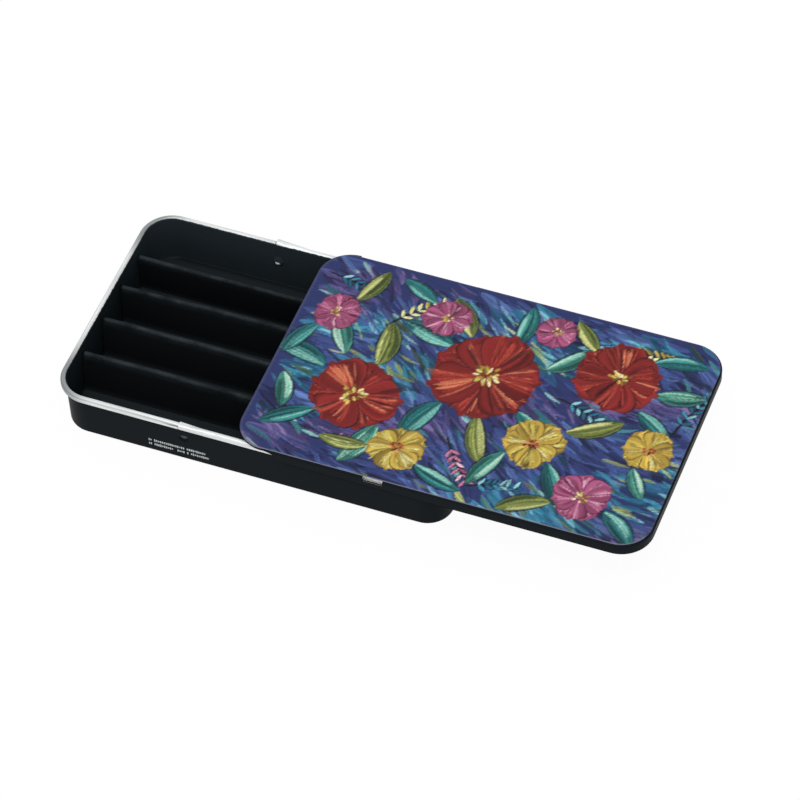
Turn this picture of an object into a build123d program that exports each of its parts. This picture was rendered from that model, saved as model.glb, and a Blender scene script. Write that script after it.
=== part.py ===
from build123d import *

import os
from math import cos, radians, sin

# Pocket storage tin with a slide lid. A drawn tinplate pan with a curled rim holds a folded card
# insert that makes five lanes. The lid's flange wraps around the rim on three sides, its hem
# reaches under the curl, and the lid slides along X. The lid stands half open, as drawn here.
# When it is shut, a catch on each long side of the rim stands in a window of the flange, and
# pressing the walls in at the dots below the catches frees the lid.
# The origin is the middle of the foot that the pan stands on. X runs along the lanes, towards
# the end where the lid comes out, and Z is up. All sizes are millimetres.

# Stock thicknesses
tinplate = 0.25
card = 0.35
film = 0.10

# Pan, measured outside its walls, just below the rim
pan_length = 91.8
pan_width = 57.8
pan_height = 13.0           # foot to the top of the curled rim
pan_corner = 6.5            # corner radius of the walls, seen from above
wall_draft = 0.45           # how far each wall leans in from the rim down to the heel
heel_radius = 0.9           # outside radius between wall and floor
foot_drop = 0.10            # how far the middle panel of the floor stands below its border
foot_border = 3.2           # width of the raised border, from the heel to the middle panel

# Curled rim
curl_width = 1.35
curl_height = 1.55
curl_lip_radius = 0.50      # outside radius where the curl turns in under itself

# Catches on the rim and the press dots below them, on both long sides
catch_x = -16.05            # steep face of each catch, towards the end that the lid opens
catch_rise = 0.40           # crown of the catch above the rim, at the steep face
catch_crown_run = 4.5       # length over which the crown falls back to the rim
catch_reach = 0.45          # swell of the catch beyond the outside of the rim, at the steep face
catch_lift = 0.36           # how far the swell also stands above the rim there
catch_swell_run = 10.0      # length over which the swell falls back to the rim
catch_sink = 0.08           # depth of the far ends of crown and swell inside the curl
crease_run = 6.0            # crease in the curl that deepens towards the steep face
crease_radius = 0.24
crease_depth = 0.18         # depth of the crease at the steep face
crease_angle = 14           # degrees from level, seen along the rim
dot_x = -15.6
dot_height = 7.6            # centre of the dot above the foot
dot_radius = 1.3
dot_depth = 0.5

# Folded card insert
lane_count = 5
insert_side_gap = 0.3       # card edge to the inside of the long walls, at the heel
insert_end_gap = 0.30       # card edge to the inside of the end walls, at the heel
insert_seat_gap = 0.07      # card edge above the heel that it rests on
pleat_top = 11.25           # top of each pleat above the foot
pleat_slot_base = 0.5       # gap between the two layers of a pleat where they leave the floor
pleat_slot_top = 0.30       # the same gap at the fold
pleat_lean = (1.54, 1.38, 1.02, -0.44)  # how far each pleat leans along +Y, from front to back

# Slide lid
lid_side_gap = 0.75         # outside of the rim to the inside of the flange
lid_top_gap = 0.55          # top of the rim to the underside of the lid
lid_open_end_overhang = 0.4     # the end without a flange, past the rim when the lid is shut
lid_corner = 7.6
lid_bend = 0.5              # outside radius between the top and the flange
flange_height = 2.9         # top of the lid to the bottom of the hem
hem_bend = 0.4              # outside radius between the flange and the hem
hem_reach = 0.45            # how far the hem reaches under the rim
scoop_length = 4.1          # rounded start of the flange at the end without one
window_length = 4.4
catch_play = 0.1            # near end of the window to the steep face of the catch, lid shut
window_sill = 1.65          # bottom of the window above the bottom of the hem
window_over = 0.38          # how far the window runs in over the bend, from the outside
label_inset = 0.4           # label edge inside the lid outline
lid_travel_open = 43.75     # how far the lid is drawn open as it stands

# Worked out from the sizes above
curl_overhang = curl_width - tinplate
rim_length = pan_length + 2 * curl_overhang
rim_width = pan_width + 2 * curl_overhang
border_top = foot_drop + tinplate
heel_length = pan_length - 2 * wall_draft
heel_width = pan_width - 2 * wall_draft
heel_corner = pan_corner - wall_draft
lid_top = pan_height + lid_top_gap + tinplate
lid_width = rim_width + 2 * (lid_side_gap + tinplate)
lid_shut_left = -rim_length / 2 - lid_open_end_overhang
lid_shut_right = rim_length / 2 + lid_side_gap + tinplate
lid_length = lid_shut_right - lid_shut_left
lid_shut_middle = (lid_shut_right + lid_shut_left) / 2


def quarter_ring(centre, outer, start_deg):
    """A quarter of a ring one sheet thick, from start_deg anticlockwise, about centre."""
    square = Pos(outer / 2, outer / 2) * Rectangle(outer, outer)
    ring = (Circle(outer) - Circle(outer - tinplate)) & square
    return Pos(*centre) * Rot(0, 0, start_deg) * ring


def bar(left, right, low, high):
    """A rectangle between two edges each way."""
    return Pos((left + right) / 2, (low + high) / 2) * Rectangle(right - left, high - low)


def outward_plane(centre, angle_deg):
    """A plane through centre whose local X points outward at angle_deg and local Y points up."""
    out = (cos(radians(angle_deg)), sin(radians(angle_deg)), 0)
    normal = (out[1], -out[0], 0)
    return Plane(origin=centre, x_dir=out, z_dir=normal)


def straight_run(profile, middle, angle_deg, run):
    """The profile drawn out along one side of a rounded rectangle."""
    return extrude(outward_plane(middle, angle_deg) * profile, amount=run / 2, both=True)


def corner_run(profile, centre, angle_deg, corner):
    """The profile turned a quarter round one corner of a rounded rectangle."""
    section = outward_plane(centre, angle_deg) * (Pos(corner, 0) * profile)
    return revolve(section, Axis(centre, (0, 0, 1)), 90)


def rounded_plate(length, width, corner, low, high):
    """A flat plate with rounded corners between two heights."""
    return Pos(0, 0, low) * extrude(RectangleRounded(length, width, corner), high - low)


def pan_profile():
    """Section of heel, wall and curl. Local X is 0 at the outside of the wall's upper end."""
    top = pan_height
    half = curl_width / 2
    middle = half - tinplate
    straight_top = top - half
    drop_low = top - curl_height + curl_lip_radius
    heel_top = foot_drop + heel_radius
    profile = make_face(Polyline(
        (0, straight_top), (-tinplate, straight_top), (-wall_draft - tinplate, heel_top),
        (-wall_draft, heel_top), close=True))
    profile += quarter_ring((-wall_draft - heel_radius, heel_top), heel_radius, 270)
    profile += quarter_ring((middle, straight_top), half, 0)
    profile += quarter_ring((middle, straight_top), half, 90)
    profile += bar(curl_overhang - tinplate, curl_overhang, drop_low, straight_top)
    profile += quarter_ring((curl_overhang - curl_lip_radius, drop_low), curl_lip_radius, 270)
    return profile


def pan_ring():
    """The pan profile carried round all four sides and corners."""
    profile = pan_profile()
    x, y = pan_length / 2, pan_width / 2
    inner_x, inner_y = x - pan_corner, y - pan_corner
    ring = straight_run(profile, (x, 0, 0), 0, 2 * inner_y)
    ring += straight_run(profile, (0, y, 0), 90, 2 * inner_x)
    ring += straight_run(profile, (-x, 0, 0), 180, 2 * inner_y)
    ring += straight_run(profile, (0, -y, 0), 270, 2 * inner_x)
    for angle, sx, sy in ((0, 1, 1), (90, -1, 1), (180, -1, -1), (270, 1, -1)):
        ring += corner_run(profile, (sx * inner_x, sy * inner_y, 0), angle, pan_corner)
    return ring


def pan_floor():
    """Raised border, riser and the lower middle panel that the tin stands on."""
    length, width = heel_length - 2 * heel_radius, heel_width - 2 * heel_radius
    corner = heel_corner - heel_radius
    border = rounded_plate(length, width, corner, foot_drop, border_top)
    panel_length, panel_width = length - 2 * foot_border, width - 2 * foot_border
    panel_corner = max(corner - foot_border, heel_radius)
    drop = rounded_plate(panel_length, panel_width, panel_corner, 0, border_top)
    inner_corner = panel_corner - tinplate
    hollow = rounded_plate(panel_length - 2 * tinplate, panel_width - 2 * tinplate, inner_corner,
                           tinplate, border_top)
    return border + drop - hollow


def wall_half_width(height):
    """Middle of the tin to the outside of a long wall, at a height above the foot."""
    heel_top = foot_drop + heel_radius
    share = (height - heel_top) / (pan_height - curl_width / 2 - heel_top)
    return heel_width / 2 + wall_draft * share


def press_dot(side):
    """The dent of one dot as the pair (sheet to add inside, hollow to cut outside)."""
    ball = (dot_radius**2 + dot_depth**2) / (2 * dot_depth)
    face = wall_half_width(dot_height)
    centre = Pos(dot_x, side * (face + ball - dot_depth), dot_height)
    reach = dot_depth + 2 * tinplate
    inside = Pos(dot_x, side * (face - tinplate / 2 - reach / 2), dot_height)
    keep = inside * Box(4 * dot_radius, reach, 4 * dot_radius)
    swell = (centre * Sphere(ball + tinplate)) & keep
    return swell, centre * Sphere(ball)


def curl_rod(side, radius, near, far, run):
    """A round rod along the curl, ending square at the steep face of the catch.

    near and far are the rod's offsets (outward, up) from the middle of the curl's round top, at
    the steep face and at run along X from it.
    """
    middle_y = side * (pan_width / 2 + curl_width / 2 - tinplate)
    middle_z = pan_height - curl_width / 2
    face = Vector(catch_x, middle_y + side * near[0], middle_z + near[1])
    tail = Vector(catch_x + run, middle_y + side * far[0], middle_z + far[1])
    along = face - tail
    past_face = along.length + curl_width
    rod = extrude(Plane(origin=tail, z_dir=along) * Circle(radius), past_face)
    span = Pos(catch_x + run / 2, middle_y, middle_z) * Box(
        abs(run), 4 * curl_width, 4 * curl_width)
    return rod & span


def rim_catch(side):
    """Crown and swell of one catch, steep towards -X and fading into the curl towards +X."""
    radius = curl_width / 2
    sunk = (-catch_sink, -catch_sink)
    crown = curl_rod(side, radius, (0, catch_rise), sunk, catch_crown_run)
    swell = curl_rod(side, radius, (catch_reach, catch_lift), sunk, catch_swell_run)
    return crown + swell


def rim_crease(side):
    """Groove on the outer shoulder of the curl, deepest where it meets the catch."""
    out, up = cos(radians(crease_angle)), sin(radians(crease_angle))
    shallow = curl_width / 2 + crease_radius
    deep = shallow - crease_depth
    return curl_rod(side, crease_radius, (deep * out, deep * up), (shallow * out, shallow * up),
                    -crease_run)


def base_pan():
    """Drawn pan: floor, heel, walls and curled rim, with catches and press dots."""
    pan = pan_ring() + pan_floor()
    for side in (-1, 1):
        swell, hollow = press_dot(side)
        pan = pan + swell - hollow
        pan = pan - rim_crease(side) + rim_catch(side)
    return pan


def insert_floor_low():
    """Height of the card's underside, where its long edges rest on the round heel."""
    inner = heel_radius - tinplate
    inward = max(heel_radius - tinplate - insert_side_gap, 0)
    heel_surface = foot_drop + heel_radius - (inner**2 - inward**2) ** 0.5
    return heel_surface + insert_seat_gap


def pleat(base_y, top_y, floor_low):
    """Section of one pleat as the pair (outside of both layers, slot between them)."""
    slot_base, slot_top = pleat_slot_base / 2, pleat_slot_top / 2
    fold_z = pleat_top - slot_top - card
    outside = make_face(Polyline(
        (base_y - slot_base - card, floor_low), (base_y + slot_base + card, floor_low),
        (top_y + slot_top + card, fold_z), (top_y - slot_top - card, fold_z), close=True))
    outside += Pos(top_y, fold_z) * Circle(slot_top + card)
    slot = make_face(Polyline(
        (base_y - slot_base, floor_low), (base_y + slot_base, floor_low),
        (top_y + slot_top, fold_z), (top_y - slot_top, fold_z), close=True))
    slot += Pos(top_y, fold_z) * Circle(slot_top)
    return outside, slot


def divider_insert():
    """One card folded into a floor and upright pleats, cut round at the corners."""
    length = heel_length - 2 * tinplate - 2 * insert_end_gap
    width = heel_width - 2 * tinplate - 2 * insert_side_gap
    floor_low = insert_floor_low()
    section = bar(-width / 2, width / 2, floor_low, floor_low + card)
    lane = width / lane_count
    for number in range(1, lane_count):
        base_y = -width / 2 + number * lane
        lean = pleat_lean[(number - 1) % len(pleat_lean)]
        outside, slot = pleat(base_y, base_y + lean, floor_low)
        section = section + outside - slot
    folded = extrude(Plane.YZ * section, amount=length / 2, both=True)
    corner = heel_corner - tinplate - insert_side_gap
    return folded & rounded_plate(length, width, corner, 0, pan_height)


def flange_profile():
    """Section of top bend, flange and hem. Local X is 0 at the outside of the flange."""
    hem_low = lid_top - flange_height
    reach = -tinplate - lid_side_gap - hem_reach
    profile = quarter_ring((-lid_bend, lid_top - lid_bend), lid_bend, 0)
    profile += bar(-tinplate, 0, hem_low + hem_bend, lid_top - lid_bend)
    profile += quarter_ring((-hem_bend, hem_low + hem_bend), hem_bend, 270)
    profile += bar(reach, -hem_bend, hem_low, hem_low + tinplate)
    return profile


def lid_flange():
    """The flange along both long sides and round the far end, from the start of the scoop."""
    profile = flange_profile()
    x, y = lid_length / 2, lid_width / 2
    inner_x, inner_y = x - lid_corner, y - lid_corner
    flange = straight_run(profile, (x, 0, 0), 0, 2 * inner_y)
    flange += straight_run(profile, (0, y, 0), 90, 2 * inner_x)
    flange += straight_run(profile, (0, -y, 0), 270, 2 * inner_x)
    flange += corner_run(profile, (inner_x, inner_y, 0), 0, lid_corner)
    flange += corner_run(profile, (inner_x, -inner_y, 0), 270, lid_corner)
    return flange


def lid_plate():
    """The flat top: full outline at the open end, inside the bend everywhere else."""
    low = lid_top - tinplate
    whole = rounded_plate(lid_length, lid_width, lid_corner, low, lid_top)
    flat = rounded_plate(lid_length - 2 * lid_bend, lid_width - 2 * lid_bend,
                         lid_corner - lid_bend, low, lid_top)
    open_end = Pos(-lid_length / 2, 0, 0) * Box(2 * lid_corner, lid_width, 3 * lid_top)
    return (whole & open_end) + flat


def flange_scoop():
    """The rounded cut that starts the flange, as a bar across both long sides."""
    low = lid_top - flange_height
    oval = Rot(0, 0, 180) * Ellipse(scoop_length, lid_top - tinplate - low)
    start = -lid_length / 2 + lid_corner
    return extrude(Plane.XZ.offset(0) * (Pos(start, low) * oval), lid_width, both=True)


def catch_window(side):
    """The opening that the catch stands in when the lid is shut, through flange and bend."""
    sill = lid_top - flange_height + window_sill
    head = lid_top + tinplate
    middle_x = catch_x - catch_play + window_length / 2 - lid_shut_middle
    return Pos(middle_x, side * lid_width / 2, (sill + head) / 2) * Box(
        window_length, 2 * window_over, head - sill)


def slide_lid():
    """Lid in the place it takes when the tin is shut."""
    lid = lid_plate() + (lid_flange() - flange_scoop())
    for side in (-1, 1):
        lid = lid - catch_window(side)
    return Pos(lid_shut_middle, 0, 0) * lid


def lid_label():
    """Printed film on top of the lid, in the place it takes when the tin is shut."""
    length, width = lid_length - 2 * label_inset, lid_width - 2 * label_inset
    return Pos(lid_shut_middle, 0, 0) * rounded_plate(
        length, width, lid_corner - label_inset, lid_top, lid_top + film)


def main():
    os.makedirs("parts", exist_ok=True)
    drawn_open = Pos(lid_travel_open, 0, 0)
    pieces = {
        "base_pan": base_pan(),
        "divider_insert": divider_insert(),
        "slide_lid": drawn_open * slide_lid(),
        "lid_label": drawn_open * lid_label(),
    }
    for name, piece in pieces.items():
        solids = piece.solids()
        print(name, "solids", len(solids), "volume", round(piece.volume, 1))
        export_step(piece if len(solids) > 1 else solids[0], f"parts/{name}.step")


main()
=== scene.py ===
import logging
import math
from collections.abc import Sequence
from dataclasses import dataclass
from enum import Enum
from functools import partialmethod

import bpy
import numpy as np
from mathutils import Matrix, Vector


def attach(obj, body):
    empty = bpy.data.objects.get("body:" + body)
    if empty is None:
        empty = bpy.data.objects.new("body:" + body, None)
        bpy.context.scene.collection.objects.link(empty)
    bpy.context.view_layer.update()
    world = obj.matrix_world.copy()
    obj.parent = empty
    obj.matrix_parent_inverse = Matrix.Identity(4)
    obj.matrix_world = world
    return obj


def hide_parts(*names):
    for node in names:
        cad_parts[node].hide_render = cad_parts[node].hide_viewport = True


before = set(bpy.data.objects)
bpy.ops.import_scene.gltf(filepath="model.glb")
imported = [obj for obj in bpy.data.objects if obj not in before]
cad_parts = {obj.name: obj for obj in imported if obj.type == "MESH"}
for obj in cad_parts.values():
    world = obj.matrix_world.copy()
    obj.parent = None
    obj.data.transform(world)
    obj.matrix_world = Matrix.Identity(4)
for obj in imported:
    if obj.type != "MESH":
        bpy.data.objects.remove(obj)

log = logging.getLogger("storage_tin")
MM = 0.001
Colour = tuple[float, float, float]
Span = tuple[float, float]
Socket = bpy.types.NodeSocket


def linear(steps: np.ndarray) -> np.ndarray:
    """Linear light of screen values from 0 to 1, by the sRGB curve."""
    return np.where(steps <= 0.04045, steps / 12.92, ((steps + 0.055) / 1.055) ** 2.4)


def srgb(red: int, green: int, blue: int) -> Colour:
    """Linear colour of a screen colour given in steps of 0 to 255."""
    return tuple(float(channel) for channel in linear(np.array([red, green, blue]) / 255))


def shaded(tone: Colour, share: float) -> Colour:
    """A colour with every channel times the share."""
    return tuple(share * part for part in tone)


class Look:
    """One node material in the making. Its methods add nodes and most hand back a socket."""

    def __init__(self, name: str) -> None:
        """Starts an empty material.

        Args:
            name: the material's name.
        """
        self.material = bpy.data.materials.new(name)
        self.material.use_nodes = True
        self.tree = self.material.node_tree
        self.tree.nodes.clear()
        self.shader = self.node("ShaderNodeBsdfPrincipled")
        self.output = self.node("ShaderNodeOutputMaterial", self.shader.outputs[0])

    def feed(self, socket: Socket, value: object) -> None:
        """Links a socket to a socket, or writes a plain value into it.

        Args:
            socket: the input to fill.
            value: an output socket, a number or a tuple.
        """
        if isinstance(value, Socket):
            self.tree.links.new(value, socket)
        elif isinstance(value, tuple) and len(value) == 3 and len(socket.default_value) == 4:
            socket.default_value = (*value, 1.0)
        else:
            socket.default_value = value

    def node(self, kind: str, *values: object, **options: object) -> bpy.types.Node:
        """Adds one node.

        Args:
            kind: its type.
            values: what its first inputs are fed with, in order.
            options: its own settings, by name.

        Returns:
            The node.
        """
        node = self.tree.nodes.new(kind)
        for name, value in options.items():
            setattr(node, name, value)
        for socket, value in zip(node.inputs, values):
            self.feed(socket, value)
        return node

    def surface(self, colour: object, roughness: object, specular: float,
                metallic: object = 0.0) -> None:
        """Fills the shader's main inputs.

        Args:
            colour: base colour.
            roughness: roughness.
            specular: specular level, which stays a plain number.
            metallic: share of metal.
        """
        self.feed(self.shader.inputs["Base Color"], colour)
        self.feed(self.shader.inputs["Roughness"], roughness)
        self.feed(self.shader.inputs["Metallic"], metallic)
        self.shader.inputs["Specular IOR Level"].default_value = specular

    def place(self) -> Socket:
        """Object coordinates, in millimetres."""
        coordinates = self.node("ShaderNodeTexCoord").outputs
        return self.stretch(coordinates["Object"], (1 / MM, 1 / MM, 1 / MM))

    def axes(self) -> list[Socket]:
        """X, Y and Z of the object coordinates, in millimetres."""
        return self.split(self.place())

    def attribute(self, name: str, output: str = "Fac") -> Socket:
        """One attribute of the mesh: Fac for a number, Color for a colour."""
        return self.node("ShaderNodeAttribute", attribute_name=name).outputs[output]

    def split(self, vector: Socket) -> list[Socket]:
        """The X, Y and Z of a vector."""
        return list(self.node("ShaderNodeSeparateXYZ", vector).outputs)

    def join(self, x: object, y: object, z: object) -> Socket:
        """A vector of three numbers."""
        return self.node("ShaderNodeCombineXYZ", x, y, z).outputs[0]

    def sums(self, operation: str, *values: object) -> Socket:
        """What a Math node makes of the values."""
        return self.node("ShaderNodeMath", *values, operation=operation).outputs[0]

    def times(self, *values: object) -> Socket:
        """The product of two or more values."""
        product = values[0]
        for value in values[1:]:
            product = self.sums("MULTIPLY", product, value)
        return product

    plus = partialmethod(sums, "ADD")
    minus = partialmethod(sums, "SUBTRACT")
    most = partialmethod(sums, "MAXIMUM")
    size = partialmethod(sums, "ABSOLUTE")
    # 1 where the first value is above, or below, the second, and 0 elsewhere
    above = partialmethod(sums, "GREATER_THAN")
    below = partialmethod(sums, "LESS_THAN")

    def within(self, value: object, span: Span) -> Socket:
        """1 where the value is inside the span, else 0."""
        return self.times(self.above(value, span[0]), self.below(value, span[1]))

    def rise(self, value: object, span: Span) -> Socket:
        """Rises smoothly from 0 to 1 along the span."""
        return self.node("ShaderNodeMapRange", value, *span,
                         interpolation_type="SMOOTHSTEP").outputs[0]

    def fall(self, value: object, span: Span) -> Socket:
        """Falls smoothly from 1 to 0 along the span."""
        return self.minus(1.0, self.rise(value, span))

    def stretch(self, vector: Socket, factors: object) -> Socket:
        """The vector times one factor, or times one along each axis."""
        return self.node("ShaderNodeVectorMath", vector, factors, operation="MULTIPLY").outputs[0]

    def noise(self, vector: Socket, scale: float, detail: float = 3.0,
              rough: float = 0.5) -> Socket:
        """Cloudy noise from 0 to 1.

        Args:
            vector: where it is read.
            scale: features per millimetre.
            detail: octaves.
            rough: weight of the finer octaves.

        Returns:
            The noise value.
        """
        node = self.node("ShaderNodeTexNoise", vector)
        for name, value in (("Scale", scale), ("Detail", detail), ("Roughness", rough)):
            node.inputs[name].default_value = value
        return node.outputs["Fac"]

    def mix(self, share: object, first: object, second: object) -> Socket:
        """A colour between first, at share 0, and second, at share 1."""
        node = self.node("ShaderNodeMix", share, data_type="RGBA")
        self.feed(node.inputs[6], first)
        self.feed(node.inputs[7], second)
        return node.outputs[2]

    def blend(self, share: object, first: object, second: object) -> Socket:
        """A number between first, at share 0, and second, at share 1."""
        return self.node("ShaderNodeMapRange", share, 0.0, 1.0, first, second).outputs[0]

    def bump(self, height: Socket, depth: float) -> None:
        """Lets a height from 0 to 1, worth depth in millimetres, move the shading normal."""
        node = self.node("ShaderNodeBump")
        node.inputs["Distance"].default_value = depth * MM
        node.inputs["Strength"].default_value = 1.0
        self.feed(node.inputs["Height"], height)
        self.feed(self.shader.inputs["Normal"], node.outputs[0])


def add(name: str, data: bpy.types.ID) -> bpy.types.Object:
    """A new object at the origin with the data, linked to the scene."""
    thing = bpy.data.objects.new(name, data)
    bpy.context.scene.collection.objects.link(thing)
    return thing


def new_mesh(name: str, points: np.ndarray, faces: list[list[int]]) -> bpy.types.Object:
    """A smooth-shaded mesh object at the origin.

    Args:
        name: the object's name.
        points: (n, 3) array of places, in metres.
        faces: the vertex numbers of each face.

    Returns:
        The new object, linked to the scene.
    """
    mesh = bpy.data.meshes.new(name)
    mesh.from_pydata(points.tolist(), [], faces)
    mesh.update()
    mesh.polygons.foreach_set("use_smooth", np.ones(len(mesh.polygons), dtype=bool))
    return add(name, mesh)


def grid(number: np.ndarray) -> np.ndarray:
    """The quads between neighbours in a grid of vertex numbers, as an (n, 4) array."""
    return np.stack([number[:-1, :-1], number[:-1, 1:], number[1:, 1:], number[1:, :-1]],
                    axis=-1).reshape(-1, 4)


def store(mesh: bpy.types.Mesh, name: str, values: np.ndarray) -> None:
    """Keeps a number or a colour for every vertex.

    Args:
        mesh: the mesh that gets the attribute.
        name: the attribute's name.
        values: (n,) numbers or (n, 3) linear colours.
    """
    kind, field = ("FLOAT", "value") if values.ndim == 1 else ("FLOAT_COLOR", "color")
    if values.ndim > 1:
        values = np.column_stack([values, np.ones(len(values))])
    layer = mesh.attributes.new(name, kind, "POINT")
    layer.data.foreach_set(field, values.astype(np.float32).ravel())


def ripple(along: np.ndarray, seed: int, longest: float, octaves: int = 3,
           fade: float = 0.5) -> np.ndarray:
    """Smooth random waves about 0: a sum of sines, each of half the length of the one before.

    Args:
        along: places, in millimetres.
        seed: which waves.
        longest: length of the longest wave, in millimetres.
        octaves: how many sines.
        fade: height of each sine against the one before.

    Returns:
        The height at each place, within about -1 to 1.
    """
    rng = np.random.default_rng(seed)
    total = np.zeros_like(along)
    for octave in range(octaves):
        length = longest / 2**octave * rng.uniform(0.85, 1.15)
        phase = rng.uniform(0, 2 * np.pi)
        total += fade**octave * np.sin(2 * np.pi * along / length + phase)
    return total / sum(fade**octave for octave in range(octaves))


def rounded_path(corners: np.ndarray, radius: float, arc_steps: int, run_steps: int) -> np.ndarray:
    """A polyline with every corner rounded to a fillet.

    The fillet at a corner between unit directions a and b starts radius * tan(turn / 2) before it
    and follows a circular arc to the same distance past it.

    Args:
        corners: (n, 2) corner points.
        radius: fillet radius.
        arc_steps: points on each fillet.
        run_steps: points on each straight run between fillets.

    Returns:
        (m, 2) points along the path.
    """
    runs = np.diff(corners, axis=0)
    lengths = np.linalg.norm(runs, axis=1)
    ways = runs / lengths[:, None]
    steps = np.linspace(0, 1, run_steps + 1)[1:, None]
    points = [corners[0]]
    last = corners[0]
    for number in range(1, len(corners) - 1):
        before, after = ways[number - 1], ways[number]
        cross = before[0] * after[1] - before[1] * after[0]
        turn = np.arctan2(cross, before @ after)
        slope = np.tan(abs(turn) / 2)
        bend = min(radius, 0.49 * min(lengths[number - 1], lengths[number]) / slope)
        enter = corners[number] - before * (bend * slope)
        centre = enter + np.array([-before[1], before[0]]) * (np.sign(turn) * bend)
        points.extend(last + (enter - last) * steps)
        for share in np.linspace(0, turn, arc_steps + 1)[1:]:
            swing = np.array([[np.cos(share), -np.sin(share)], [np.sin(share), np.cos(share)]])
            points.append(centre + swing @ (enter - centre))
        last = points[-1]
    points.extend(last + (corners[-1] - last) * steps)
    return np.array(points)


def oblong_reach(across: np.ndarray, half_length: float, half_width: float,
                 corner: float) -> np.ndarray:
    """Half the length of a rounded rectangle at a distance across from its long middle line.

    It is half_length - corner + sqrt(corner^2 - over^2), where over is how far the place is past
    the start of the rounded corner.

    Args:
        across: distances from the middle line.
        half_length: half the rectangle's length.
        half_width: half its width.
        corner: its corner radius.

    Returns:
        The reach along the length at each distance.
    """
    over = np.clip(np.abs(across) - (half_width - corner), 0, corner)
    return half_length - corner + np.sqrt(corner**2 - over**2)


@dataclass(frozen=True)
class Spot:
    """A soft-edged spot that both long walls share. Y of its middle is counted outwards.

    Distances along each axis count by squeeze: a number below 1 makes the spot longer.
    """

    middle: Colour
    squeeze: Colour
    radius: float
    tone: Colour

    def mask(self, look: Look) -> Socket:
        """The spot as a mask from 0 to 1, with a slightly ragged edge."""
        x, y, z = look.axes()
        folded = look.stretch(look.join(x, look.size(y), z), self.squeeze)
        middle = tuple(side * count for side, count in zip(self.middle, self.squeeze))
        away = look.node("ShaderNodeVectorMath", folded, middle,
                         operation="DISTANCE").outputs["Value"]
        ragged = look.times(look.noise(look.place(), 1.5, 4.0), 0.3)
        return look.fall(look.plus(away, ragged), (0.75 * self.radius, 1.25 * self.radius))


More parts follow.
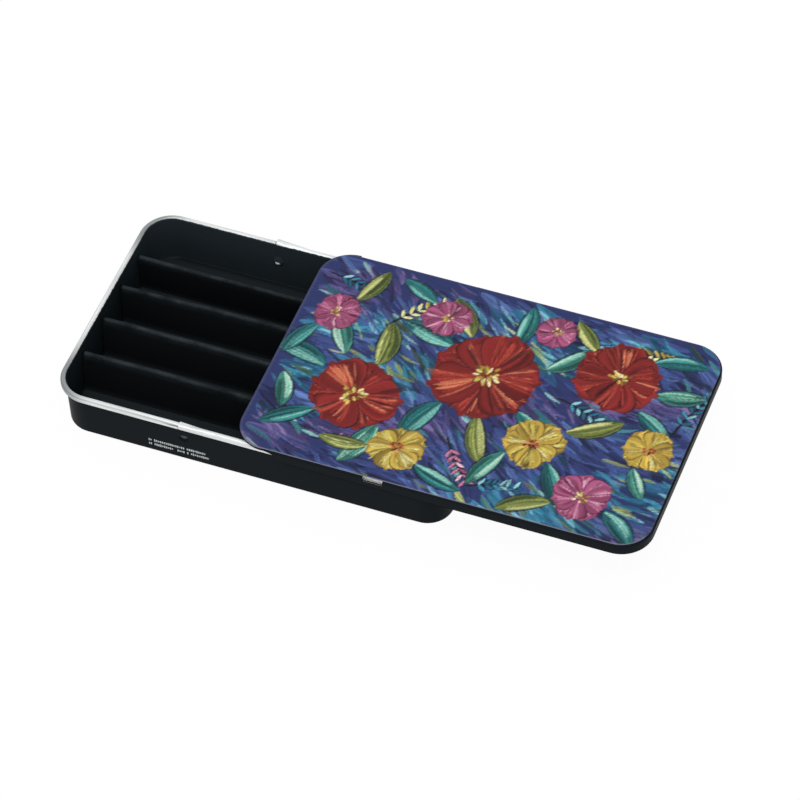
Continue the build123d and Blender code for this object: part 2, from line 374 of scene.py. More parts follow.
@dataclass(frozen=True)
class PanFinish:
    """Black lacquer inside and outside, bare tin on the curled rim, and two rows of small print.

    Lengths are in millimetres along the tin's own axes. The outset of a place is how far it is
    outside the outline of the wall, seen from above.
    """

    tone: Colour = (0.0052, 0.0080, 0.0102)
    # painted light: inward faces get a lighter tone than the outside, lighter still towards the
    # back wall
    inside_lit_tone: Colour = (0.0095, 0.0135, 0.0160)
    back_lit_tone: Colour = (0.0200, 0.0280, 0.0330)
    back_y: Span = (5.0, 27.0)
    mottle_depth: float = 0.2
    gloss: Span = (0.37, 0.47)
    shine: float = 0.03
    relief: float = 0.006
    # painted glint: a near-white spot on the inner bump of each dot
    dot_glint: Spot = Spot((-15.95, 27.96, 7.35), (0.48, 1.0, 1.1), 0.54, (0.95, 0.96, 0.96))
    dot_glint_outset: float = -0.82
    # painted highlight: a lighter grey on the lower half of each outer dent
    dent: Spot = Spot((-15.7, 28.6, 7.95), (1.0, 0.4, 1.0), 0.95, srgb(96, 102, 104))
    dent_cover: Span = (0.1, 0.9)

    tin: Colour = (0.76, 0.78, 0.78)
    streak_share: float = 0.78
    streak_span: Span = (0.38, 0.62)
    streak_run: float = 0.035
    metal_share: float = 0.5
    metal_gloss: Span = (0.30, 0.48)
    wall_half: Span = (45.9, 28.9)
    wall_corner: float = 6.5
    rim_low: float = 11.4
    rim_outset: float = 0.03
    lacquer_edge: Span = (12.71, 12.89)
    edge_wander: float = 0.25

    # painted shade: a dark tone on the rim's shoulder, its corners and the creases at each catch
    shade_tone: Colour = (0.045, 0.06, 0.063)
    shoulder_outset: float = 0.55
    shoulder_z: float = 12.74
    shoulder_fade: Span = (0.04, 0.24)
    shoulder_shade_share: float = 0.32
    corner_x: Span = (36.0, 45.0)
    corner_y: Span = (12.0, 22.0)
    corner_shade_share: float = 0.66
    # painted reflection: under the lid's windows the rim is plain white and not metal
    window_x: Span = (26.5, 33.1)
    catch_x: float = -16.05
    foot_x: Span = (-16.55, -16.17)
    foot_z: Span = (12.5, 12.9)
    groove_x: Span = (-21.0, -17.2)
    groove_z: float = 12.49
    groove_fade: Span = (0.10, 0.24)
    groove_y: float = 29.7
    crease_shade_share: float = 0.85

    print_tone: Colour = srgb(176, 182, 182)
    print_rows: Span = (3.95, 2.65)
    print_x: Span = (-24.3, -10.0)
    print_outset: float = -0.6
    dash_pitch: float = 0.46
    dash_share: float = 0.66
    dash_gaps: float = 0.10
    dash_height: Span = (0.20, 0.42)
    row_seed: float = 17.0

    def outset(self, look: Look) -> Socket:
        """How far a place is outside the wall's rounded rectangle."""
        x, y, _ = look.axes()
        reach = [look.minus(look.size(value), half - self.wall_corner)
                 for value, half in zip((x, y), self.wall_half)]
        past = [look.most(value, 0.0) for value in reach]
        squares = look.plus(look.times(past[0], past[0]), look.times(past[1], past[1]))
        flat_part = look.sums("MINIMUM", look.most(*reach), 0.0)
        return look.minus(look.plus(look.sums("SQRT", squares), flat_part), self.wall_corner)

    def creases(self, look: Look) -> Socket:
        """Painted shade lines where the rim runs up to the steep face of each catch, as a mask."""
        x, y, z = look.axes()
        low = look.most(look.above(y, 0.0), look.fall(z, self.foot_z))
        foot = look.times(look.rise(x, self.foot_x), low)
        off = look.size(look.minus(z, self.groove_z))
        groove = look.times(look.rise(x, self.groove_x), look.fall(off, self.groove_fade),
                            look.above(look.size(y), self.groove_y))
        behind = look.below(x, self.catch_x + 0.01)
        return look.times(look.most(foot, groove), behind, self.crease_shade_share)

    def small_print(self, look: Look, outset: Socket, inside: Socket) -> Socket:
        """Two rows of short plain dashes low on the outer face of the front wall, as a mask.

        Args:
            look: the material in the making.
            outset: how far a place is outside the wall's outline.
            inside: 1 on faces that look inwards, else 0.

        Returns:
            1 on a dash, else 0.
        """
        x, y, z = look.axes()
        cell = look.sums("DIVIDE", x, self.dash_pitch)
        inks = []
        for number, row in enumerate(self.print_rows):
            pick = look.node("ShaderNodeTexWhiteNoise", noise_dimensions="1D")
            look.feed(pick.inputs["W"],
                      look.plus(look.sums("FLOOR", cell), self.row_seed * number))
            value = pick.outputs["Value"]
            height = look.blend(value, *self.dash_height)
            inks.append(look.times(
                look.above(value, self.dash_gaps),
                look.below(look.sums("FRACT", cell), self.dash_share),
                look.below(look.size(look.minus(z, row)), height)))
        return look.times(look.most(*inks), look.within(x, self.print_x),
                          look.below(y, 0.0), look.above(outset, self.print_outset),
                          look.minus(1.0, inside))

    def lacquer(self, look: Look, outset: Socket, mottle: Socket) -> Socket:
        """Colour of the lacquer with its print and painted light: lighter inner faces, glints,
        highlights.

        Args:
            look: the material in the making.
            outset: how far a place is outside the wall's outline.
            mottle: cloudy noise from 0 to 1.

        Returns:
            The colour.
        """
        x, y, z = look.axes()
        facing = look.split(look.node("ShaderNodeTexCoord").outputs["Normal"])
        inside = look.below(look.plus(look.times(x, facing[0]), look.times(y, facing[1])), 0.0)
        # painted light: inward faces lighter than outward ones, most on the back wall
        inner = look.mix(look.rise(y, self.back_y), self.inside_lit_tone, self.back_lit_tone)
        black = look.mix(inside, self.tone, inner)
        darker = look.mix(self.mottle_depth, black, (0.0, 0.0, 0.0))
        black = look.mix(mottle, darker, black)
        black = look.mix(self.small_print(look, outset, inside), black, self.print_tone)
        # painted highlight on the lower half of each outer dent
        dent = look.times(self.dent.mask(look), look.below(z, self.dent.middle[2]),
                          look.blend(mottle, *self.dent_cover))
        black = look.mix(dent, black, self.dent.tone)
        # painted glint on the inner bump of each dot
        dot_glint = look.times(self.dot_glint.mask(look), look.below(outset, self.dot_glint_outset))
        return look.mix(dot_glint, black, self.dot_glint.tone)

    def tin_with_painted_light(self, look: Look, outset: Socket, streak: Socket, window: Socket) -> Socket:
        """Colour of the bare rim with its streaks, painted shade and a painted white reflection.

        Args:
            look: the material in the making.
            outset: how far a place is outside the wall's outline.
            streak: streaky noise from 0 to 1.
            window: 1 under the lid's windows, where the rim gets a painted white reflection, else
                0.

        Returns:
            The colour.
        """
        x, y, z = look.axes()
        tin = look.mix(look.rise(streak, self.streak_span),
                       shaded(self.tin, self.streak_share), self.tin)
        off = look.size(look.minus(z, self.shoulder_z))
        shoulder = look.times(look.above(outset, self.shoulder_outset),
                              look.fall(off, self.shoulder_fade),
                              look.below(x, self.catch_x), self.shoulder_shade_share)
        corner = look.times(look.rise(look.size(x), self.corner_x),
                            look.rise(look.size(y), self.corner_y), self.corner_shade_share)
        # painted shade on the shoulder, the creases at the catches and the corners
        for share in (shoulder, self.creases(look), corner):
            tin = look.mix(share, tin, self.shade_tone)
        # painted reflection: plain white under the lid's windows
        return look.mix(window, tin, (1.0, 1.0, 1.0))

    def material(self) -> bpy.types.Material:
        """The finish as one material in the object's own coordinates."""
        look = Look("pan_finish")
        place = look.place()
        x, y, z = look.split(place)
        outset = self.outset(look)
        wander = look.times(look.minus(look.noise(place, 1.5, 4.0), 0.5), self.edge_wander)
        over = look.rise(look.plus(z, wander), self.lacquer_edge)
        beside = look.times(look.above(z, self.rim_low), look.above(outset, self.rim_outset))
        bare = look.most(over, beside)
        run = look.times(look.plus(x, y), self.streak_run)
        streak = look.noise(look.join(outset, run, z), 2.6, 5.0, 0.6)
        mottle = look.noise(place, 0.9, 4.0)
        window = look.within(x, self.window_x)
        metal = look.blend(look.noise(place, 0.26), *self.metal_gloss)
        look.surface(
            look.mix(bare, self.lacquer(look, outset, mottle),
                     self.tin_with_painted_light(look, outset, streak, window)),
            look.blend(bare, look.blend(mottle, *self.gloss), metal), self.shine,
            look.times(bare, look.blend(window, self.metal_share, 0.0)))
        look.bump(look.blend(bare, look.noise(place, 2.6, 2.0), streak), self.relief)
        return look.material


@dataclass(frozen=True)
class LidFinish:
    """Black satin lacquer with bare cut edges at the windows. Lengths are in millimetres."""

    tone: Colour = (0.0066, 0.0092, 0.0110)
    mottle_share: float = 0.8
    gloss: Span = (0.35, 0.45)
    shine: float = 0.03
    relief: float = 0.004
    # painted shade: the lacquer along the hem at the lower edge is darkened to a quarter
    hem_z: Span = (11.1, 11.45)
    hem_shade_share: float = 0.25
    tin: Colour = (0.55, 0.57, 0.57)
    window_x: Span = (27.55, 32.05)
    window_z: Span = (12.50, 13.85)
    sheet_y: Span = (30.60, 30.985)

    def material(self) -> bpy.types.Material:
        """The finish as one material in the object's own coordinates."""
        look = Look("lid_finish")
        place = look.place()
        x, y, z = look.split(place)
        raw = look.times(look.within(x, self.window_x), look.within(z, self.window_z),
                         look.within(look.size(y), self.sheet_y))
        mottle = look.noise(place, 0.9, 4.0)
        hem = look.rise(z, self.hem_z)
        black = look.mix(mottle, shaded(self.tone, self.mottle_share), self.tone)
        # painted shade along the hem
        black = look.mix(hem, shaded(self.tone, self.hem_shade_share), black)
        satin = look.blend(mottle, *self.gloss)
        look.surface(look.mix(raw, black, self.tin), look.blend(hem, 1.0, satin), self.shine, raw)
        look.bump(look.noise(place, 2.6, 2.0), self.relief)
        return look.material


@dataclass(frozen=True)
class CardFinish:
    """Matte black card, lighter where its folds and edges have rubbed."""

    tone: Colour = srgb(12, 16, 19)
    fibre_share: float = 0.75
    fibre_run: Colour = (0.35, 1.0, 1.0)
    # painted light: the card's floor gets a lighter tone than its pleats
    floor_tone: Colour = srgb(34, 40, 44)
    worn: Colour = srgb(44, 50, 54)
    worn_span: Span = (0.45, 1.05)
    gloss: Span = (0.64, 0.80)
    shine: float = 0.08
    relief: float = 0.012

    def material(self) -> bpy.types.Material:
        """The finish, which reads the wear and floor attributes of the card's mesh."""
        look = Look("card_finish")
        place = look.place()
        fibre = look.noise(look.stretch(place, self.fibre_run), 3.2, 4.0, 0.6)
        patchy = look.plus(look.times(fibre, 0.5), look.noise(place, 0.17))
        worn = look.times(look.attribute("wear"), look.rise(patchy, self.worn_span))
        tone = look.mix(fibre, shaded(self.tone, self.fibre_share), self.tone)
        # painted light: lighter tone on the card's floor
        tone = look.mix(look.attribute("floor"), tone, self.floor_tone)
        look.surface(look.mix(worn, tone, self.worn), look.blend(fibre, *self.gloss), self.shine)
        look.bump(fibre, self.relief)
        return look.material


@dataclass
class FoldedCard:
    """The black card that makes the lanes, as one sheet carried along X with soft folds.

    The sheet's middle line is a polyline across the tin, up and down each pleat, with rounded
    folds. Both faces are that line moved by half the card's thickness along its normal. Lengths
    are in millimetres.
    """

    half_length: float = 44.9
    half_width: float = 27.9
    corner: float = 5.5
    card: float = 0.35
    floor: float = 0.70
    top: float = 11.07
    bases: tuple[float, ...] = (-16.74, -5.58, 5.58, 16.74)
    tops: tuple[float, ...] = (-15.2, -4.2, 6.6, 16.3)
    gap_base: float = 0.425
    gap_top: float = 0.40
    fold: float = 0.40
    steps_x: int = 200
    root: float = 1.2
    pleat_reach: float = 2.0
    sway: float = 0.28
    sway_wave: float = 64.0
    sag: float = 0.22
    sag_wave: float = 38.0
    worn_crest: Span = (10.32, 11.02)
    worn_tip: Span = (44.3, 44.8)
    tip_share: float = 0.3
    # where the floor mask for the painted lighter floor tone fades out
    floor_z: Span = (0.6, 1.6)
    seed: int = 40

    def line(self) -> np.ndarray:
        """The sheet's middle line across the tin, as (n, 2) places in y and z."""
        corners = [(-self.half_width, self.floor)]
        for base, top in zip(self.bases, self.tops):
            corners += [(base - self.gap_base, self.floor), (top - self.gap_top, self.top),
                        (top + self.gap_top, self.top), (base + self.gap_base, self.floor)]
        corners.append((self.half_width, self.floor))
        return rounded_path(np.array(corners), self.fold, 6, 7)

    def faces(self) -> tuple[np.ndarray, np.ndarray]:
        """Upper and lower face of the sheet, as two (n, 2) lines."""
        line = self.line()
        way = np.gradient(line, axis=0)
        way /= np.linalg.norm(way, axis=1)[:, None]
        normal = np.stack([-way[:, 1], way[:, 0]], axis=1)
        half = self.card / 2
        upper, lower = line + half * normal, line - half * normal
        for face in (upper, lower):
            face[:, 0] = np.clip(face[:, 0], -self.half_width, self.half_width)
        return upper, lower

    def build(self) -> bpy.types.Object:
        """Makes the sheet, marks its wear and puts it in place of the plain solid.

        Returns:
            The card object.
        """
        upper, lower = self.faces()
        loop = np.concatenate([upper, lower[::-1]])
        count = len(loop)
        share = np.linspace(-1, 1, self.steps_x)
        y = np.broadcast_to(loop[:, 0], (self.steps_x, count)).copy()
        z = np.broadcast_to(loop[:, 1], (self.steps_x, count)).copy()
        x = share[:, None] * oblong_reach(y, self.half_length, self.half_width, self.corner)
        height = np.clip((z - self.root) / (self.top - self.root), 0, 1)
        for pleat, (base, top) in enumerate(zip(self.bases, self.tops)):
            lean = base + (top - base) * height
            mine = np.abs(y - lean) < self.pleat_reach
            sway = self.sway * ripple(x, self.seed + pleat, self.sway_wave) * height**1.2
            wave = ripple(x, self.seed + 10 + pleat, self.sag_wave)
            y = np.where(mine, y + sway, y)
            z = np.where(mine, z - self.sag * (0.5 + 0.5 * wave) * height, z)
        points = np.stack([x, y, z], axis=-1).reshape(-1, 3)
        number = np.arange(self.steps_x * count).reshape(self.steps_x, count)
        quads = grid(np.column_stack([number, number[:, 0]]))
        place = np.arange(count // 2 - 1)
        end = np.stack([place, place + 1, count - 2 - place, count - 1 - place], axis=-1)
        quads = np.concatenate([quads, end[:, ::-1], end + (self.steps_x - 1) * count])
        piece = new_mesh("folded_card", points * MM, quads.tolist())
        crest = np.interp(points[:, 2], self.worn_crest, (0, 1))
        tips = np.interp(np.abs(points[:, 0]), self.worn_tip, (0, 1))
        raised = np.clip(points[:, 2] / self.top, 0, 1)
        store(piece.data, "wear", np.maximum(crest, self.tip_share * tips * raised))
        # floor mask, which the finish uses for a painted lighter floor tone
        store(piece.data, "floor", np.interp(points[:, 2], self.floor_z, (1, 0)))
        piece.data.materials.append(CardFinish().material())
        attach(piece, "base")
        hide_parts("divider_insert")
        return piece


class Hue(Enum):
    """Sets of four screen colours, dark to light, for the printed garden."""

    NIGHT = ((26, 28, 58), (40, 50, 102), (58, 78, 140), (80, 110, 168))
    VIOLET = ((36, 30, 62), (58, 50, 98), (84, 74, 132), (124, 104, 158))
    WATER = ((22, 58, 88), (30, 96, 128), (52, 134, 164), (124, 190, 200))
    RED = ((72, 20, 26), (128, 32, 30), (170, 54, 42), (222, 124, 82))
    GOLD = ((106, 80, 32), (180, 148, 52), (208, 192, 82), (232, 226, 156))
    PINK = ((86, 30, 58), (150, 66, 104), (194, 110, 146), (230, 178, 196))
    TEAL = ((18, 54, 60), (30, 104, 106), (60, 152, 146), (146, 208, 188))
    LIME = ((52, 66, 32), (112, 124, 54), (168, 176, 88), (212, 212, 140))
    MINT = ((24, 70, 68), (56, 128, 112), (96, 182, 156), (188, 224, 198))


@dataclass(frozen=True)
class Layer:
    """One layer of ground strokes: how many, how long, how wide, and the share in leaf colours."""

    count: int
    length: Span
    width: Span
    flecks: float = 0.0


@dataclass(frozen=True)
class Bloom:
    """One flower of the printed garden: where, how big, which colours."""

    x: float
    y: float
    radius: float
    hue: Hue
    petals: int


@dataclass(frozen=True)
class Shoot:
    """One leaf or sprig of the printed garden: foot, direction in degrees, length and colours."""

    x: float
    y: float
    way: float
    length: float
    hue: Hue


class Painting:
    """A garden of blossoms and leaves, laid down as brush strokes on a fine canvas.

    Each stroke is a curved path. Its half width at share t of its length is half its width times
    sin(pi t^skew)^fullness, and its colour follows a random row of bristles across it.
    """

    bristles = 9
    ground_slant = -28
    layers = (Layer(480, (8, 15), (2.0, 3.4)), Layer(1300, (3.5, 9), (0.5, 1.3), 0.12))
    leaf_edge = (20, 24, 46)
    stem_tone = (18, 30, 34)
    bud_edge = (18, 20, 36)

    def __init__(self, half: tuple[float, float], pitch: float, seed: int) -> None:
        """Starts a canvas in the ground's darkest colour.

        Args:
            half: half its length and half its width, in millimetres.
            pitch: size of its cells, in millimetres.
            seed: which random strokes.
        """
        self.half, self.pitch = np.array(half), pitch
        shape = tuple(int(np.ceil(2 * side / pitch)) + 1 for side in half)
        self.tone = np.tile(np.array(Hue.NIGHT.value[1], float), (*shape, 1))
        self.angle = np.zeros(shape)
        self.rng = np.random.default_rng(seed)

    def stroke(self, path: np.ndarray, width: float, tone: Sequence[float], cover: float = 0.9,
               skew: float = 1.0, fullness: float = 0.55, streaks: float = 0.16) -> None:
        """Lays one stroke.

        Args:
            path: (n, 2) points, in millimetres from the middle of the canvas.
            width: greatest width.
            tone: screen colour.
            cover: how much of the paint below it hides.
            skew: above 1 moves the widest place towards the end of the path.
            fullness: lower values give blunter ends.
            streaks: how much bristles lighten and darken it.
        """
        low = np.floor((path.min(0) - width / 2 + self.half) / self.pitch).astype(int)
        high = np.ceil((path.max(0) + width / 2 + self.half) / self.pitch).astype(int) + 1
        low, high = np.maximum(low, 0), np.minimum(high, self.angle.shape)
        if (high <= low).any():
            return
        window = tuple(slice(a, b) for a, b in zip(low, high))
        cells = np.stack(np.meshgrid(*(np.arange(a, b) * self.pitch - side for a, b, side in
                                       zip(low, high, self.half)), indexing="ij"), axis=-1)
        feet, ways = path[:-1], np.diff(path, axis=0)
        to_cell = cells[:, :, None, :] - feet
        share = np.clip((to_cell * ways).sum(-1) / (ways**2).sum(-1), 0, 1)
        away = np.linalg.norm(to_cell - share[..., None] * ways, axis=-1)
        nearest = away.argmin(-1)
        pick = (*np.indices(nearest.shape), nearest)
        along = (nearest + share[pick]) / len(ways)
        cross = ways[nearest, 0] * to_cell[pick][..., 1] - ways[nearest, 1] * to_cell[pick][..., 0]
        reach = width / 2 * np.sin(np.pi * np.clip(along, 0.004, 0.996) ** skew) ** fullness
        across = np.clip(np.sign(cross) * away[pick] / np.maximum(reach, 1e-6), -1, 1)
        bristles = self.rng.normal(0, streaks, self.bristles)
        row = np.interp(across, np.linspace(-1, 1, self.bristles), bristles)
        ink = cover * np.clip((reach - away[pick]) / (1.4 * self.pitch) + 0.5, 0, 1)
        paint = np.clip(np.array(tone, float) * (1 + row[..., None]), 0, 255)
        self.tone[window] += ink[..., None] * (paint - self.tone[window])
        turned = np.arctan2(ways[nearest, 1], ways[nearest, 0])
        self.angle[window] = np.where(ink > 0.4, turned, self.angle[window])

    def curve(self, foot: Sequence[float], way: float, length: float, bend: float = 0.0,
              points: int = 6) -> np.ndarray:
        """A path that turns steadily from its foot.

        Args:
            foot: where it starts.
            way: direction at its foot, in degrees.
            length: its length.
            bend: how many degrees it turns in all.
            points: how many points it has.

        Returns:
            (points, 2) places.
        """
        turn = np.radians(way + bend * (np.arange(points - 1) + 0.5) / (points - 1))
        steps = np.stack([np.cos(turn), np.sin(turn)], axis=1) * length / (points - 1)
        return np.concatenate([[foot], foot + np.cumsum(steps, axis=0)])

    def ground(self) -> None:
        """Broad, then fine strokes of night blue, violet, water blue and green on a wavy slant."""
        for layer in self.layers:
            for x, y in self.rng.uniform(-self.half, self.half, (layer.count, 2)):
                field = ripple(np.array([x + 0.6 * y]), 5, 70.0)[0]
                band = ripple(np.array([y - 0.45 * x]), 6, 46.0)[0]
                hue = Hue.VIOLET if band > 0.45 else Hue.WATER if band < -0.4 else Hue.NIGHT
                if layer.flecks and self.rng.random() < layer.flecks:
                    hue = Hue.LIME if band < -0.2 else Hue.TEAL
                shade = hue.value[self.rng.choice(4, p=(0.16, 0.34, 0.36, 0.14))]
                way = self.ground_slant + 30 * field + self.rng.normal(0, 8)
                length = self.rng.uniform(*layer.length)
                path = self.curve((x, y), way, length, self.rng.normal(0, 22))
                self.stroke(path, self.rng.uniform(*layer.width), shade, 0.7)

    def leaf(self, leaf: Shoot) -> None:
        """A soft dark edge, a body of long streaks that meet at foot and tip, and a faint vein."""
        tones = leaf.hue.value
        bend = self.rng.uniform(-35, 35)
        width = leaf.length * self.rng.uniform(0.30, 0.40)
        spine = self.curve((leaf.x, leaf.y), leaf.way, leaf.length, bend)
        self.stroke(spine, width + 0.7, self.leaf_edge, 0.75)
        self.stroke(spine, width, tones[1], 0.9)
        side = np.array([-np.sin(np.radians(leaf.way)), np.cos(np.radians(leaf.way))])
        swell = np.sin(np.pi * np.linspace(0.08, 0.92, len(spine)))[:, None]
        for off in self.rng.permutation(np.linspace(-0.4, 0.4, 11)):
            pale = 0.5 + off + self.rng.normal(0, 0.2)
            shade = tones[int(np.clip(4 * pale, 0, 3))]
            streak = spine + side * swell * width * off
            self.stroke(streak[:-1] if off > 0 else streak[1:], width * 0.13, shade, 0.7)
        self.stroke(spine, 0.4, tones[0], 0.55)

    def bloom(self, bloom: Bloom) -> None:
        """Overlapping petals with streaks from the heart outwards, and a heart of small dabs."""
        tones, radius = bloom.hue.value, bloom.radius
        middle = np.array((bloom.x, bloom.y))
        first = self.rng.uniform(0, 360)
        wide = 2 * radius * np.sin(np.pi / bloom.petals) * 1.15
        for number in self.rng.permutation(bloom.petals):
            way = first + 360 * number / bloom.petals + self.rng.normal(0, 6)
            length = radius * self.rng.uniform(0.86, 1.08)
            spine = self.curve(middle, way, length, self.rng.uniform(-26, 26))
            self.stroke(spine, wide + 0.8, tones[0], 0.85, 1.7, 0.5)
            self.stroke(spine, wide, tones[1], 0.95, 1.7, 0.5)
            turn = np.radians(way + 90)
            normal = np.array([np.cos(turn), np.sin(turn)])
            knots = np.linspace(0, 1, len(spine))
            for _ in range(int(10 + 1.6 * radius)):
                off = self.rng.uniform(-0.42, 0.42)
                share = np.linspace(self.rng.uniform(0.12, 0.5), self.rng.uniform(0.8, 0.98),
                                    len(spine))
                streak = np.stack([np.interp(share, knots, spine[:, axis]) for axis in (0, 1)], 1)
                streak = streak + normal * off * wide * share[:, None]
                pale = self.rng.choice(4, p=(0.2, 0.24, 0.38, 0.18))
                self.stroke(streak, radius * self.rng.uniform(0.04, 0.10), tones[pale], 0.65, 1.3)
        heart = Hue.GOLD.value if bloom.hue is not Hue.GOLD else Hue.RED.value
        for number in range(int(8 + 2 * radius)):
            turn, out = self.rng.uniform(0, 2 * np.pi), radius * 0.2 * self.rng.uniform(0.1, 1)
            foot = middle + out * np.array([np.cos(turn), np.sin(turn)])
            self.stroke(self.curve(foot, np.degrees(turn), radius * 0.13, 0, 3),
                        max(0.45, radius * 0.07), heart[number % 4], 0.9)

    def sprig(self, sprig: Shoot) -> None:
        """A thin curved stem with pairs of small buds."""
        bend = self.rng.uniform(-40, 40)
        stem = self.curve((sprig.x, sprig.y), sprig.way, sprig.length, bend, 8)
        self.stroke(stem, 0.7, self.stem_tone, 0.9, 1.0, 0.2)
        for place in stem[2:]:
            for lean in (-48, 44):
                bud = self.curve(place, sprig.way + lean + self.rng.normal(0, 8), 2.4, 0, 4)
                self.stroke(bud, 1.25, self.bud_edge, 0.9)
                self.stroke(bud, 0.85, sprig.hue.value[self.rng.integers(1, 4)], 0.95)


@dataclass(frozen=True)
class FilmFinish:
    """Printed film with a satin face, its strokes a little raised along their direction."""

    bristle_run: float = 0.12
    bristle_light: Span = (0.72, 1.28)
    gloss: Span = (0.31, 0.43)
    shine: float = 0.10
    relief: float = 0.004

    def material(self) -> bpy.types.Material:
        """The finish, which reads the print and stroke attributes of the film's mesh."""
        look = Look("film_finish")
        x, y, z = look.axes()
        angle = look.attribute("stroke")
        cosine, sine = look.sums("COSINE", angle), look.sums("SINE", angle)
        along = look.plus(look.times(x, cosine), look.times(y, sine))
        across = look.minus(look.times(y, cosine), look.times(x, sine))
        spot = look.join(look.times(along, self.bristle_run), across, z)
        bristle = look.noise(spot, 3.4, 3.0, 0.55)
        light = look.blend(bristle, *self.bristle_light)
        shade = look.stretch(look.attribute("print", "Color"), light)
        look.surface(shade, look.blend(bristle, *self.gloss), self.shine)
        look.bump(bristle, self.relief)
        return look.material


@dataclass
class PrintedFilm:
    """The printed film on the lid, a thin plate with rounded corners.

    Its rows run along X. Row heights are even between the rounded corners and evenly turned
    along them, and every row reaches to the outline. At the open end, where the lid has no bend,
    the outline is moved outwards nearly to the sheet's cut edge. Lengths are in millimetres.
    """

    half_length: float = 47.3
    half_width: float = 30.6
    corner: float = 7.2
    middle_x: float = 44.05
    low: float = 13.8
    high: float = 13.9
    pitch: float = 0.27
    canvas_pitch: float = 0.15
    open_reach: float = 0.30
    open_x: Span = (-42.8, -38.8)
    # painted highlight: a pale line along the outline, fainter towards the back
    rim: float = 0.22
    edge_highlight_tone: Colour = srgb(106, 106, 124)
    edge_highlight_y: Span = (-30.0, -26.0)
    edge_highlight_back_share: float = 0.2
    fade: float = 0.86
    darken: float = 0.96
    seed: int = 21
    blooms: tuple[Bloom, ...] = tuple(Bloom(*row) for row in (
        (-27, -9, 10.5, Hue.RED, 6), (-1, 6, 12, Hue.RED, 7), (27, 15, 9.5, Hue.RED, 6),
        (-12.5, -20.5, 6.2, Hue.GOLD, 7), (15, -9.5, 6.8, Hue.GOLD, 8),
        (39.5, -3, 5.6, Hue.GOLD, 6), (-15, 19.5, 5.6, Hue.PINK, 6),
        (30, -20.5, 6.4, Hue.PINK, 7), (-39, 13, 5.2, Hue.PINK, 5), (9.5, 23.5, 4.6, Hue.PINK, 5)))
    leaves: tuple[Shoot, ...] = tuple(Shoot(*row) for row in (
        (-34, -16, 215, 12, Hue.TEAL), (-19, -16, 260, 13, Hue.MINT),
        (-36, -3, 150, 14, Hue.TEAL), (-25, 1, 80, 13, Hue.LIME), (-33, 2, 118, 12, Hue.MINT),
        (-11, 12, 165, 13, Hue.TEAL), (-8, 16, 120, 12, Hue.LIME), (2, 17, 75, 12, Hue.TEAL),
        (11, 12, 35, 12, Hue.MINT), (9, -2, 325, 11, Hue.TEAL), (1, -6, 280, 14, Hue.LIME),
        (-8, -5, 235, 13, Hue.TEAL), (-19, -22, 200, 11, Hue.LIME), (-7, -24, 335, 12, Hue.TEAL),
        (20, -14, 300, 12, Hue.TEAL), (21, -4, 20, 13, Hue.LIME), (10, -14, 240, 12, Hue.MINT),
        (34, 7, 330, 11, Hue.TEAL), (20, 21, 140, 10, Hue.LIME), (33, 22, 25, 12, Hue.TEAL),
        (36, 13, 5, 11, Hue.MINT), (24, -24, 195, 12, Hue.LIME), (36, -23, 335, 11, Hue.TEAL),
        (38, -9, 290, 9, Hue.MINT), (-42, 8, 235, 11, Hue.TEAL), (-36, 18, 60, 11, Hue.LIME),
        (-44, -8, 300, 10, Hue.MINT), (-19, 23, 150, 10, Hue.TEAL)))
    sprigs: tuple[Shoot, ...] = tuple(Shoot(*row) for row in (
        (-43, -22, 20, 13, Hue.WATER), (-27, 13, 60, 14, Hue.GOLD), (-3, -14, 300, 13, Hue.PINK),
        (43, 3, 80, 14, Hue.WATER), (16, 5, 350, 12, Hue.WATER), (41, 25, 195, 11, Hue.GOLD),
        (-45, 24, 350, 12, Hue.WATER), (-31, -24, 10, 12, Hue.PINK), (5, -26, 30, 11, Hue.WATER)))

    def paint(self) -> Painting:
        """Paints ground, sprigs, leaves and blossoms, in that order."""
        painting = Painting((self.half_length, self.half_width), self.canvas_pitch, self.seed)
        painting.ground()
        for shoot in self.sprigs:
            painting.sprig(shoot)
        for shoot in self.leaves:
            painting.leaf(shoot)
        for bloom in sorted(self.blooms, key=lambda flower: flower.radius):
            painting.bloom(bloom)
        return painting

    def build(self) -> bpy.types.Object:
        """Makes the film, prints it and puts it in place of the plain solid.

        Returns:
            The film object.
        """
        straight = self.half_width - self.corner
        arc = np.linspace(0, np.pi / 2, int(self.corner * np.pi / 2 / self.pitch) + 1)[1:]
        bent = straight + self.corner * np.sin(arc)
        even = np.linspace(-straight, straight, int(2 * straight / self.pitch) + 1)
        rows = np.concatenate([-bent[::-1], even, bent])
        share = np.linspace(-1, 1, int(2 * self.half_length / self.pitch) + 1)
        reach = oblong_reach(rows, self.half_length, self.half_width, self.corner)
        number = np.arange(len(rows) * len(share)).reshape(len(rows), len(share))
        edge = np.concatenate([number[0], number[1:, -1], number[-1, -2::-1], number[-2:0:-1, 0]])
        x, y = (reach[:, None] * share).ravel(), np.repeat(rows, len(share))
        top = np.stack([x + self.middle_x, y, np.full(len(x), self.high)], axis=1)
        top[edge, :2] += self.overrun(x[edge], y[edge])
        under = top[edge]
        under[:, 2] = self.low
        base = len(top) + np.arange(len(edge))
        sides = np.stack([base, np.roll(base, -1), np.roll(edge, -1), edge], axis=-1)
        faces = np.concatenate([grid(number), sides]).tolist() + [base[::-1].tolist()]
        piece = new_mesh("printed_film", np.concatenate([top, under]) * MM, faces)
        self.print_on(piece, x, y, edge)
        piece.data.materials.append(FilmFinish().material())
        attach(piece, "lid")
        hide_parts("lid_label")
        return piece

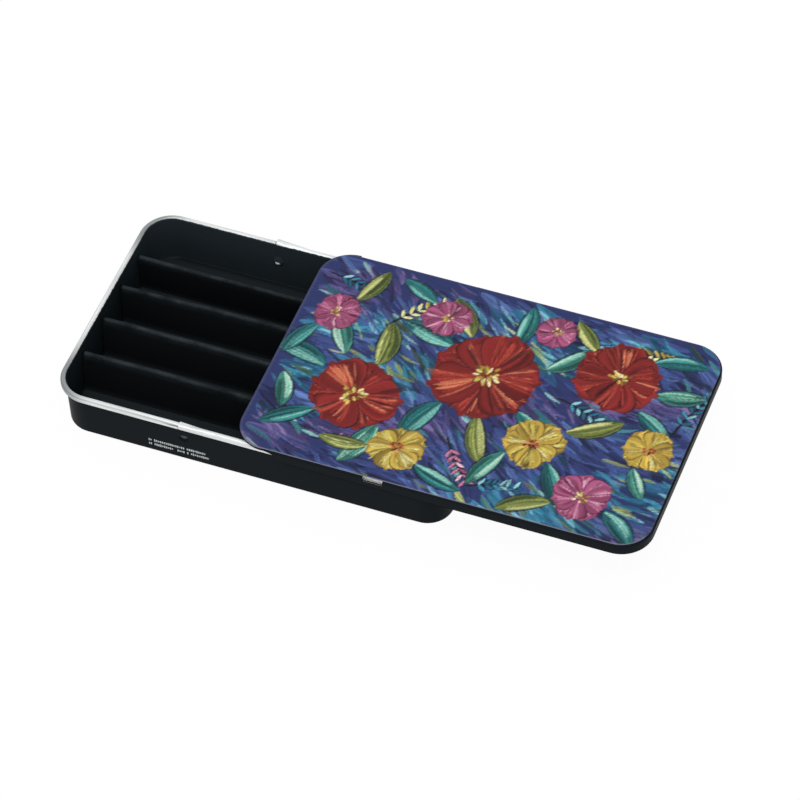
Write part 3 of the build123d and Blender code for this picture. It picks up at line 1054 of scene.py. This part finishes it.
    def past(self, x: np.ndarray, y: np.ndarray) -> np.ndarray:
        """How far places are past the start of the rounded corners.

        Args:
            x: places along the film, from its middle.
            y: the same across it.

        Returns:
            (n, 2) distances along each axis, with the sign of the side.
        """
        places = np.stack([x, y], axis=1)
        start = np.array([self.half_length, self.half_width]) - self.corner
        return np.sign(places) * np.maximum(np.abs(places) - start, 0)

    def overrun(self, x: np.ndarray, y: np.ndarray) -> np.ndarray:
        """How far places on the outline move outwards, square to it, at the open end.

        Args:
            x: places along the film, from its middle.
            y: the same across it.

        Returns:
            (n, 2) moves.
        """
        share = np.interp(x, self.open_x, (1, 0))
        share = share**2 * (3 - 2 * share)
        return self.open_reach * share[:, None] * self.past(x, y) / self.corner

    def print_on(self, piece: bpy.types.Object, x: np.ndarray, y: np.ndarray,
                 edge: np.ndarray) -> None:
        """Carries the painting over to the mesh, with a painted highlight line along the front of
        the outline.

        Args:
            piece: the film.
            x: places of the top's vertices along the film, from its middle.
            y: the same across it.
            edge: numbers of the vertices along the outline, which the underside repeats.
        """
        painting = self.paint()
        cell = np.stack([x, y], axis=1) + painting.half
        last = np.array(painting.angle.shape) - 1
        spot = tuple(np.clip(np.round(cell / painting.pitch).astype(int), 0, last).T)
        steps = painting.tone[spot] / 255
        grey = steps.mean(axis=1, keepdims=True)
        tone = linear(self.darken * (grey + self.fade * (steps - grey)))
        inset = self.corner - np.linalg.norm(self.past(x, y), axis=1)
        # painted highlight: a pale line along the outline, strongest at the front
        front = np.interp(y, self.edge_highlight_y, (1, self.edge_highlight_back_share))
        pale = (front * np.clip(1.5 - inset / self.rim, 0, 1))[:, None]
        tone = tone + pale * (np.array(self.edge_highlight_tone) - tone)
        angle = painting.angle[spot]
        store(piece.data, "print", np.concatenate([tone, tone[edge]]))
        store(piece.data, "stroke", np.concatenate([angle, angle[edge]]))


@dataclass(frozen=True)
class Shot:
    """Where the photograph was taken from."""

    aim: Colour = (23.15 * MM, 3.72 * MM, 0.75 * MM)
    distance: float = 0.999
    azimuth: float = 21.29
    elevation: float = 48.22
    roll: float = -1.21
    lens: float = 200.36

    def camera(self) -> bpy.types.Object:
        """Makes the camera and gives it to the scene."""
        turn, lift = math.radians(self.azimuth), math.radians(self.elevation)
        back = Vector((math.sin(turn) * math.cos(lift), -math.cos(turn) * math.cos(lift),
                       math.sin(lift)))
        data = bpy.data.cameras.new("camera")
        data.lens = self.lens
        data.sensor_width = 36.0
        data.clip_start, data.clip_end = 0.05, 20.0
        camera = add("camera", data)
        level = (-back).to_track_quat("-Z", "Y").to_matrix().to_4x4()
        tilt = Matrix.Rotation(math.radians(self.roll), 4, "Z")
        middle = Matrix.Translation(Vector(self.aim) + back * self.distance)
        camera.matrix_world = middle @ level @ tilt
        bpy.context.scene.camera = camera
        return camera


@dataclass
class Studio:
    """Pale floor, soft lamps and a plain sky round the tin."""

    floor_tone: Colour = (0.9, 0.9, 0.9)
    floor_half: float = 3.0
    glow_share: float = 0.96
    sky: float = 0.85

    def floor(self) -> bpy.types.Object:
        """A wide pale floor that shows nearly white to the camera."""
        corners = np.array([(-1, -1, 0), (1, -1, 0), (1, 1, 0), (-1, 1, 0)])
        floor = new_mesh("floor", self.floor_half * corners, [[0, 1, 2, 3]])
        look = Look("floor")
        look.surface(self.floor_tone, 0.9, 0.0)
        ray = look.node("ShaderNodeLightPath").outputs
        seen = look.most(ray["Is Camera Ray"],
                         look.most(ray["Is Glossy Ray"], ray["Is Transmission Ray"]))
        glow = look.node("ShaderNodeEmission", (1.0, 1.0, 1.0), 1.0)
        mixer = look.node("ShaderNodeMixShader", look.times(seen, self.glow_share),
                          look.shader.outputs[0], glow.outputs[0])
        look.feed(look.output.inputs["Surface"], mixer.outputs[0])
        floor.data.materials.append(look.material)
        return floor

    def lamp(self, name: str, place: Colour, size: float, power: float) -> bpy.types.Object:
        """A square soft lamp that faces the tin.

        Args:
            name: the lamp's name.
            place: where it hangs, in metres.
            size: its side, in metres.
            power: watts.

        Returns:
            The lamp object.
        """
        data = bpy.data.lights.new(name, "AREA")
        data.size = size
        data.energy = power
        lamp = add(name, data)
        lamp.location = place
        lamp.rotation_mode = "QUATERNION"
        lamp.rotation_quaternion = (-Vector(place)).to_track_quat("-Z", "Y")
        return lamp

    def build(self) -> None:
        """Sets up floor, sky and lamps."""
        world = bpy.data.worlds.new("sky")
        world.use_nodes = True
        back = world.node_tree.nodes["Background"]
        back.inputs["Color"].default_value = (1, 1, 1, 1)
        back.inputs["Strength"].default_value = self.sky
        bpy.context.scene.world = world
        self.floor()
        self.lamp("front", (0.1, -0.55, 1.2), 0.7, 7.0)
        self.lamp("key", (-0.9, 0.5, 0.9), 0.6, 1.0)


def main() -> None:
    """Builds the scene in order."""
    logging.basicConfig(level=logging.INFO, format="%(message)s")
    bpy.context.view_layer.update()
    bpy.context.scene.view_settings.view_transform = "Standard"
    for name, finish in (("base_pan", PanFinish()), ("slide_lid", LidFinish())):
        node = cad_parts[name]
        node.data.materials.clear()
        node.data.materials.append(finish.material())
        log.info("%s dressed", name)
    card = FoldedCard().build()
    log.info("%s built with %d faces", card.name, len(card.data.polygons))
    film = PrintedFilm().build()
    log.info("%s built with %d faces", film.name, len(film.data.polygons))
    Studio().build()
    Shot().camera()


if __name__ == "__main__":
    main()
